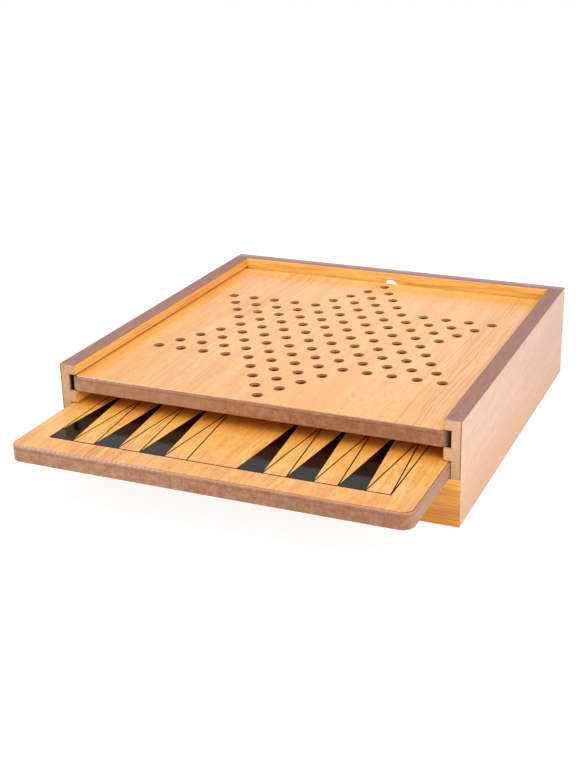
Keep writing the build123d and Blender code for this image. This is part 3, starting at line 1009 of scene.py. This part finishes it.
# %% Say where the coats lie on the case
FOOT_REFLECTION_TINT = (1.02, 0.9, 0.66, 1.0)
BACK_SHADE_TINT = (0.92, 0.92, 0.95, 1.0)
UPRIGHT_SHADE_TINT = (0.84, 0.75, 0.64, 1.0)
RAIL_PAINTED_LIGHT = (1.2, 1.42, 1.65, 1.0)


# Painted reflection: the sides are rosier at the foot, where they mirror the shaded floor.
def toward_bottom(tree):
    """1 at the foot of a side and 0 above its middle, with a slow drift."""
    place = place_on(tree)
    drift = times(marks(place["Y"], place["Z"], 90, 20, seed=45.0), 30 * MM)
    return fade(plus(place["Z"], drift), 62 * MM, 22 * MM)


def toward_back(tree):
    """1 at the back of a side, which is painted darker, as painted shade."""
    return fade(place_on(tree)["Y"], -60 * MM, 110 * MM)


def upright(tree):
    """1 on upright faces, which are painted darker than the faces that look up, as painted shade."""
    return fade(facing_on(tree)["Z"], 0.7, 0.3)


def lit_under_lower_board(tree):
    """1 on the upper part of the rail's face, painted lighter as painted light against the lower board's
    shadow.
    """
    return fade(place_on(tree)["Z"], 22 * MM, 32 * MM)


side_coats = ((toward_bottom, FOOT_REFLECTION_TINT), (toward_back, BACK_SHADE_TINT))
rail_coats = ((upright, UPRIGHT_SHADE_TINT), (lit_under_lower_board, RAIL_PAINTED_LIGHT))
print("coats: sides", len(side_coats), "rail", len(rail_coats))

# %% [markdown]
# ## The case's veneer
#
# The case is covered in the same way as the boards, but its sheets stand upright. Inside they are honey
# coloured like the boards. The outer sheets of the sides are a paler, pinker leaf, and the front rail's
# grain lies across the box, as a joiner would lay it.

# %% Veneer the case
SIDE_AXES = ("Y", "Z", "X")
END_AXES = ("X", "Z", "Y")
INSIDE = {"figure": (0.7, 0.7), "flecks": 0.3, "gloss": (0.26, 0.38), "stain": case_stain}
OUTSIDE = {"lines": (60, 1.6), "flecks": 0.2, "coats": side_coats, "stain": case_stain}
RAIL = {"figure": (0.6, 0.6), "lines": (90, 1.0), "flecks": 0.3, "coats": rail_coats}

sides = ("left_side", "right_side")
outer_sheets = [side + "_outer_veneer" for side in sides]
inner_sheets = [f"{side}_inner_veneer_{part}" for side in sides for part in ("rim", "land", "well")]
dress(veneer("side_outside_lacquered", SIDE_AXES, BLUSH, seed=41.0, **OUTSIDE), *outer_sheets)
dress(veneer("side_inside_lacquered", SIDE_AXES, HONEY, seed=43.0, **INSIDE), *inner_sheets)

# The cut edges of the back's sheets are the walls of its push holes, painted pale as painted light.
back_outside = veneer("back_outside_lacquered", END_AXES, BLUSH, seed=47.0, stain=case_stain, cut=PUSH_HOLE_PAINTED_LIGHT)
back_inside = veneer("back_inside_lacquered", END_AXES, HONEY, seed=53.0, cut=PUSH_HOLE_PAINTED_LIGHT, **INSIDE)
dress(back_outside, "back_outer_veneer")
dress(back_inside, "back_inner_veneer", "front_rail_inner_veneer")
dress(veneer("rail_lacquered", END_AXES, AMBER, seed=59.0, **RAIL), "front_rail_outer_veneer")

# %% [markdown]
# ## Cut fibreboard
#
# Medium density fibreboard is wood fibre pressed flat, so a cut edge shows no grain, only a felt of
# fibres in thin layers, with a few pale chips. Two sizes of noise give the felt, one of them drawn out
# along the layers, and the bump makes it look sawn.
#
# The blade burned the ends of the sides beside each cut and glue line. Where it did is found from the
# packed sizes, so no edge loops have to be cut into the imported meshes.

# %% Say where the saw burned the board
RAW_BOARD = tone(216, 173, 132)
RAW_SHADE = tone(190, 144, 104)
PALE_CHIP = tone(236, 206, 176)
SAW_BROWN = tone(158, 112, 74)      # where the saw burned the board beside a cut
well_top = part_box("left_side_inner_veneer_well")[1].z
land_low, land_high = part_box("left_side_inner_veneer_land")
rim_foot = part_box("left_side_inner_veneer_rim")[0].z
GROOVE_LEVELS = (well_top, land_low.z, land_high.z, rim_foot)


def felt(tree, seed, size, layer):
    """A share from 0 to 1: fibres of this size in level layers of this height, both in mm. No layers if 0."""
    place = place_on(tree)
    along = plus(place["X"], place["Y"])
    fluff = specks(tree, size, seed=seed, detail=5.0)
    if not layer:
        return fluff
    layers = marks(along, place["Z"], 7, layer, seed=seed + 0.2, detail=3.0)
    return plus(times(fluff, 0.6), times(layers, 0.4))


def burned_ends(tree):
    """1 on the front ends of the sides, along their outer glue line and beside the groove cuts."""
    place = place_on(tree)
    out = maths("ABSOLUTE", place["X"])
    ragged = times(marks(place["X"], place["Z"], 2, 2, seed=12.0), 0.8 * MM)
    glue = fade(plus(out, ragged), cad_high.x - 1.1 * MM, cad_high.x - 0.4 * MM, high=0.9)
    nearest = 1.0
    for level in GROOVE_LEVELS:
        step = maths("ABSOLUTE", maths("SUBTRACT", place["Z"], level))
        nearest = maths("MINIMUM", nearest, step)
    cut = times(
        fade(plus(nearest, ragged), 0.4 * MM, 1.3 * MM, low=0.6, high=0.0),
        fade(out, cad_high.x - 5.0 * MM, cad_high.x - 6.5 * MM),
    )
    inner = fade(plus(out, ragged), side_face + 1.1 * MM, side_face + 0.5 * MM, high=0.7)
    front = fade(facing_on(tree)["Y"], -0.6, -0.9)
    return times(maths("MAXIMUM", inner, maths("MAXIMUM", glue, cut)), front)


print("groove edges in mm:", [round(level / MM, 1) for level in GROOVE_LEVELS])

# %% [markdown]
# Three of the four grooves are darkened near their front ends, so that the gap beside a board looks like
# a deep shadow line. It is paint that stands in for shade, which the soft light here leaves too pale, and
# it shows as a dark patch once the boards are out. The walls of the push holes in the back are painted
# pale, as painted light where they lie in shade. A separate material for each would need the imported
# faces sorted by hand. As shares, both sit in one finish.

# %% Darken the grooves and whiten the holes
RAW_PALER = tone(240, 210, 182)
GROOVE_DARK = tone(36, 18, 8)
LAND_MIDDLE = 51 * MM               # half way up the strip between the two grooves of a side
PUSH_HOLE_R = 8 * MM
HOLES_START = 24 * MM               # no hole in the back reaches below this height


def darkened_groove(tree):
    """0 in the left side's lower groove, which stays raw, and 1 in the other three."""
    place = place_on(tree)
    left = fade(place["X"], 1 * MM, 0.0)
    low = fade(place["Z"], LAND_MIDDLE + 1 * MM, LAND_MIDDLE - 1 * MM)
    return maths("SUBTRACT", 1.0, times(left, low))


def groove_shade(tree):
    """1 in the darkened grooves near the front ends, fading out from 22 to 50 mm behind them."""
    place = place_on(tree)
    front = times(facing_on(tree)["Y"], -1.0)
    out = maths("ABSOLUTE", place["X"])
    return times(
        fade(front, 0.6, 0.3),
        fade(place["Z"], rim_foot + 1.5 * MM, rim_foot + 0.5 * MM),
        fade(out, side_face - 0.6 * MM, side_face + 0.4 * MM),
        darkened_groove(tree),
        fade(place["Z"], well_top - 0.6 * MM, well_top - 0.2 * MM),
        fade(place["Y"], case_front + 50 * MM, case_front + 22 * MM),
        fade(place["Y"], case_front, case_front + 3 * MM),
    )


def paler_right_top(tree):
    """1 at the top of the right side's front end, which is paler."""
    place = place_on(tree)
    return times(fade(place["X"], 0.0, 1 * MM), fade(place["Z"], 36 * MM, 60 * MM))


def in_push_hole(tree):
    """1 on the walls of the holes in the back, the only faces there that look down or sideways."""
    place = place_on(tree)
    facing = facing_on(tree)
    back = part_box("back_core")[0].y
    return times(
        fade(place["Y"], back - 0.1 * MM, back + 0.1 * MM),
        fade(maths("ABSOLUTE", place["X"]), PUSH_HOLE_R + 2 * MM, PUSH_HOLE_R + 1 * MM),
        fade(maths("ABSOLUTE", facing["Y"]), 0.3, 0.2),
        fade(place["Z"], case_top - 1.0 * MM, case_top - 1.5 * MM),
        fade(place["Z"], HOLES_START, HOLES_START + 1 * MM),
    )


print("push hole radius in mm:", round(PUSH_HOLE_R / MM, 1))

# %% [markdown]
# One recipe serves all the cut fibreboard, also the dividers, which stayed raw, and the bottom panel,
# which is hardboard and has no layers to be seen. On the case the burns, the darkened grooves and the
# holes painted pale lie over it, and the stain on top lies over everything.

# %% Finish the case's cut edges
def raw_fibreboard(name, raw, shade, seed, stain=None, grooves=False, layer=0.5):
    """Cut fibreboard, as the saw left it."""
    material, tree = new_finish(name)
    fluff = felt(tree, seed, 1.1, layer)
    cloud = specks(tree, 7, seed=seed + 0.7)
    chips = specks(tree, 0.8, seed=seed + 0.5, detail=1.0)
    colour = layered(
        raw,
        (fade(fluff, 0.38, 0.64), shade),
        (fade(cloud, 0.4, 0.68, high=0.45), shade),
        (fade(chips, 0.66, 0.78, high=0.45), PALE_CHIP),
    )
    if grooves:
        colour = layered(
            colour,
            (times(paler_right_top(tree), 0.22), RAW_PALER),
            (burned_ends(tree), SAW_BROWN),
            (groove_shade(tree), GROOVE_DARK),
            (in_push_hole(tree), PUSH_HOLE_PAINTED_LIGHT),
        )
    if stain:
        where, stain_colour = stain
        colour = blend(where(tree), colour, stain_colour(tree))
    roughness = fade(fluff, 0.3, 0.7, low=0.5, high=0.66)
    height = plus(fluff, times(chips, 0.4))
    cover(tree, colour, roughness, height, relief=0.1 * MM)
    return material


case_cores = ("left_side_core", "right_side_core", "back_core", "front_rail_core")
dividers = ("well_divider_cross", "well_divider_left", "well_divider_right")
HARD_BROWN = tone(140, 98, 68)
HARD_SHADE = tone(118, 80, 54)
case_board = raw_fibreboard(
    "case_fibreboard", RAW_BOARD, RAW_SHADE, seed=3.0, stain=case_stain, grooves=True)
dress(case_board, *case_cores)
dress(raw_fibreboard("divider_fibreboard", RAW_BOARD, RAW_SHADE, seed=8.0), *dividers)
dress(raw_fibreboard("hardboard_brown", HARD_BROWN, HARD_SHADE, seed=9.0, layer=0.0), "bottom_panel")

# %% [markdown]
# ## The boards' edges
#
# The piece that shows as a board's edge also holds the walls of its peg holes. Their colour is painted
# shade and light: bright at the rim, dark below, lighter again deeper down, and lighter at the sides.
# An even colour would get some shade from the light alone, but not enough, so the depth is coloured in.
# The walls lie more than 5 mm inside the outline, and that distance tells them from the edge.

# %% Colour the walls of the peg holes
HOLE_LIGHT = tone(214, 142, 80)
PEG_HOLE_PAINTED_SHADE = tone(96, 44, 10)
PEG_HOLE_PAINTED_LIGHT = tone(224, 172, 122)     # painted light on the sides of each hole


def hole_wall(tree, top):
    """The wall of a peg hole, in painted shade and light: bright at the rim, dark below, lighter at the
    sides.
    """
    place = place_on(tree)
    facing = facing_on(tree)
    return layered(
        HOLE_LIGHT,
        (fade(place["Z"], top, top - 1.9 * MM), PEG_HOLE_PAINTED_SHADE),
        (fade(place["Z"], top - 2.1 * MM, top - 3.3 * MM, high=0.4), HOLE_LIGHT),
        (fade(facing["X"], -0.1, -0.7, high=0.55), PEG_HOLE_PAINTED_LIGHT),
        (fade(facing["X"], 0.4, 0.9, high=0.25), PEG_HOLE_PAINTED_LIGHT),
    )


print("hole walls start at", round(star_high.z / MM, 1), "mm")

# %% [markdown]
# A board's edge is fibreboard, but it was sanded and stained, so it is mottled rather than layered:
# stain in blotches, dust in clouds and short cuts from the sander. It is also darker toward the right.
# The faces that look right and the front left corner are paler, as painted light, and the front right
# corner is darker where it runs into its groove, as painted shadow. Each is a layer of its own, from the
# widest to the finest, so that each can be tuned alone.

# %% Finish the boards' edges
CORNER_PAINTED_SHADOW = tone(58, 34, 20)


def board_edge(name, board, rounding, seed, dust, corner_shadow):
    """The stained and sanded edge of one board, and the walls of its peg holes. The other two numbers say how
    much dust it shows, and how much painted shadow lies in its front right corner, where it meets its groove."""
    material, tree = new_finish(name)
    place = place_on(tree)
    facing = facing_on(tree)
    low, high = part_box(board)
    around = plus(place["X"], place["Y"])
    fluff = felt(tree, seed, 0.9, 0.6)
    cloud = marks(around, place["Z"], 5, 4, seed=seed + 0.6, detail=4.0)
    cuts = marks(around, place["Z"], 0.8, 6, seed=seed + 0.4, detail=4.0)
    chips = specks(tree, 0.7, seed=seed + 0.5, detail=1.0)
    blotch = specks(tree, 1.6, seed=seed + 0.9, detail=4.0)

    # Painted shadow: the front right corner, which runs into its groove, is darkened.
    right_corner_shadow = times(
        fade(facing["X"], 0.3, 0.75, high=corner_shadow),
        fade(place["Y"], low.y + 8 * MM, low.y + 4 * MM),
    )
    # Painted light: near the front, faces that look left are paler.
    lit_left_corner = times(
        fade(facing["X"], -0.3, -0.9, high=0.6),
        fade(place["Y"], low.y + 20 * MM, low.y + 10 * MM),
    )
    below = maths("SUBTRACT", high.z - ROUND_OVER, place["Z"])
    step = times(fade(below, -0.4 * MM, 0.1 * MM), fade(below, 1.6 * MM, 0.4 * MM))
    colour = layered(
        EDGE_BROWN,
        (fade(fluff, 0.36, 0.62, high=0.6), EDGE_SHADE),
        (fade(blotch, 0.46, 0.6, high=0.6), EDGE_SHADE),
        (fade(cloud, 0.4, 0.66, high=0.55), EDGE_DUST_AND_LIGHT),
        (fade(cuts, 0.48, 0.7, high=0.5), EDGE_SHADE),
        (fade(place["X"], -80 * MM, 140 * MM, high=0.35), EDGE_SHADE),
        # Painted light: faces that look right are paler.
        (fade(facing["X"], 0.6, 0.95, high=0.45), EDGE_DUST_AND_LIGHT),
        (right_corner_shadow, CORNER_PAINTED_SHADOW),
        (lit_left_corner, LEFT_CORNER_PAINTED_LIGHT),
        (fade(chips, 0.66, 0.78, high=0.4), EDGE_PALE),
        (times(dusty_part(tree), dust), EDGE_DUST_AND_LIGHT),
        (times(step, 0.35), EDGE_LINE),
        (fade(facing["Z"], 0.25, 0.6), rounding(tree, board)),
        (fade(to_outline(tree, board), -4.5 * MM, -5.5 * MM), hole_wall(tree, high.z)),
    )
    roughness = fade(fluff, 0.3, 0.7, low=0.46, high=0.6)
    cover(tree, colour, roughness, plus(fluff, times(cuts, 0.5)), relief=0.08 * MM)
    return material


star_edge = board_edge(
    "star_board_edge", "star_board_core", wiped_rounding, seed=5.0, dust=0.35, corner_shadow=0.8)
lower_edge = board_edge(
    "backgammon_board_edge", "backgammon_board_core", ticked_rounding, seed=6.0, dust=0.15, corner_shadow=0.0)
dress(star_edge, "star_board_core")
dress(lower_edge, "backgammon_board_core")

# %% [markdown]
# ## The pegs
#
# The pegs are turned wood dipped in gloss paint. Dipped paint is thick and even, so it hides the grain,
# and only where pegs rub in the well does the wood begin to show. A clear coat over the colour gives
# the gloss. One function takes all six colours, as one pot after the other would.

# %% Dip the pegs
def paint(name, colour, worn, seed):
    """Gloss paint that has thinned a little where pegs rub."""
    material, tree = new_finish(name)
    rub = specks(tree, 5, seed=seed)
    fine = specks(tree, 0.5, seed=seed + 0.3)
    shown = blend(fade(rub, 0.6, 0.85, high=0.35), colour, worn)
    roughness = fade(fine, 0.3, 0.7, low=0.2, high=0.32)
    cover(tree, shown, roughness, fine, relief=0.02 * MM, Coat_Weight=0.4)
    return material


BARE_PEG = tone(222, 184, 138)
PEG_PAINTS = {
    "red": tone(178, 32, 30), "yellow": tone(236, 190, 40), "green": tone(34, 112, 58),
    "blue": tone(34, 76, 150), "white": tone(232, 228, 218), "black": tone(30, 28, 28),
}
for seed, (name, colour) in enumerate(PEG_PAINTS.items()):
    dress(paint("peg_paint_" + name, colour, BARE_PEG, float(seed)), "pegs_" + name)

# %% [markdown]
# ## The draughts and the dice
#
# The draughts are turned from two woods and lacquered, so they show grain where the pegs show paint. The
# dice are moulded, and their pips are drops of black paint. Paint as a finish fits both, since moulded
# plastic has the same even colour and the same gloss.

# %% Turn the draughts and paint the dice
def turned_wood(name, pale, dark, seed):
    """Turned and lacquered wood with its grain along X."""
    material, tree = new_finish(name)
    place = place_on(tree)
    bands = marks(place["X"], place["Y"], 40, 2.2, seed=seed)
    pores = marks(place["X"], place["Y"], 2.5, 0.3, seed=seed + 1.0)
    grain = (fade(bands, 0.35, 0.65), dark), (fade(pores, 0.6, 0.75, high=0.3), dark)
    roughness = fade(bands, 0.3, 0.7, low=0.28, high=0.38)
    cover(tree, layered(pale, *grain), roughness, pores, relief=0.03 * MM, Coat_Weight=0.3)
    return material


light_wood = turned_wood("draught_light_wood", tone(234, 200, 150), tone(214, 172, 118), seed=61.0)
dark_wood = turned_wood("draught_dark_wood", tone(92, 52, 32), tone(62, 34, 22), seed=67.0)
dress(light_wood, "draughts_light")
dress(dark_wood, "draughts_dark")
dress(paint("die_ivory", tone(240, 234, 218), tone(226, 214, 190), seed=12.0), "dice")
dress(paint("pip_black", tone(26, 24, 24), tone(44, 40, 38), seed=13.0), "dice_pip_paint")

# %% [markdown]
# ## The light
#
# A plain product picture is lit by a white tent: light comes from all round, a little more from above
# and in front. The world is that tent. One wide lamp overhead and one at the right, beside the camera,
# give the soft shadow under the upper board and a bright right side.
#
# The tent has to look whiter than the light it sends, or a bright tent would wash the colours out. The
# Light Path node tells rays that look from rays that light, so each can get its own strength.

# %% Light the box
TENT_LIGHT = 0.62
WHITE = (1.0, 1.0, 1.0, 1.0)


def looked_at(tree):
    """1 for rays that look: straight, in a reflection or through glass. 0 for rays that carry light."""
    rays = put(tree, "ShaderNodeLightPath").outputs
    seen = maths("MAXIMUM", rays["Is Camera Ray"], rays["Is Glossy Ray"])
    return maths("MAXIMUM", seen, rays["Is Transmission Ray"])


world = bpy.data.worlds.new("white_tent")
bpy.context.scene.world = world
world.use_nodes = True
tree = world.node_tree
tree.nodes.clear()
strength = fade(looked_at(tree), 0.0, 1.0, low=TENT_LIGHT, high=1.0)
tent = put(tree, "ShaderNodeBackground", {"Color": WHITE, "Strength": strength})
put(tree, "ShaderNodeOutputWorld", {"Surface": tent.outputs[0]})


def soft_lamp(name, place, aim, size, power):
    """A square softbox that looks at a point."""
    lamp = bpy.data.lights.new(name, "AREA")
    lamp.shape = "SQUARE"
    lamp.size = size
    lamp.energy = power
    holder = new_object(name, lamp)
    holder.location = place
    holder.rotation_euler = (Vector(aim) - Vector(place)).to_track_quat("-Z", "Y").to_euler()
    print(name, power, "W")


BOX_MIDDLE = (0, 0, 0.03)
soft_lamp("overhead_softbox", (-0.5, -0.6, 1.5), BOX_MIDDLE, size=1.2, power=16.0)
soft_lamp("right_softbox", (1.25, -0.9, 0.75), BOX_MIDDLE, size=1.0, power=12.5)

# %% [markdown]
# ## The floor
#
# The box stands on white paper that reaches past every edge of the view. The paper takes the box's soft
# shadow, but it has to stay white far out, where lit paper would turn grey. So it is mostly a glow for
# rays that look, and plain paper for rays that carry light. A shadow catcher would leave the background
# empty, and the picture needs a white one.

# %% Lay the floor
FLOOR_SIZE = 6.0
FLOOR_GAP = 0.2 * MM                # a thin gap keeps the floor from flickering through the bottom
PAPER = tone(235, 235, 235)
GLOW = 1.2                          # brighter than white, since only a part of it is seen
GLOW_SHARE = 0.75
floor_mesh = bpy.data.meshes.new("floor")
far = FLOOR_SIZE / 2
corners = [(-far, -far, 0), (far, -far, 0), (far, far, 0), (-far, far, 0)]
floor_mesh.from_pydata(corners, [], [(0, 1, 2, 3)])
floor = new_object("floor", floor_mesh)
floor.location.z = cad_low.z - FLOOR_GAP

floor_finish, tree = new_finish("white_floor")
paper = put(tree, "ShaderNodeBsdfDiffuse", {"Color": PAPER})
glow = put(tree, "ShaderNodeEmission", {"Color": WHITE, "Strength": GLOW})
glowing = times(looked_at(tree), GLOW_SHARE)
mixed = put(tree, "ShaderNodeMixShader", {0: glowing, 1: paper.outputs[0], 2: glow.outputs[0]})
put(tree, "ShaderNodeOutputMaterial", {"Surface": mixed.outputs[0]})
floor_mesh.materials.append(floor_finish)
print("floor:", FLOOR_SIZE, "m wide, at", round(floor.location.z / MM, 1), "mm")

# %% [markdown]
# ## A plain view
#
# The view stays plain, so that a colour comes out as it was mixed.

# %% Set a plain view
bpy.context.scene.view_settings.view_transform = "Standard"
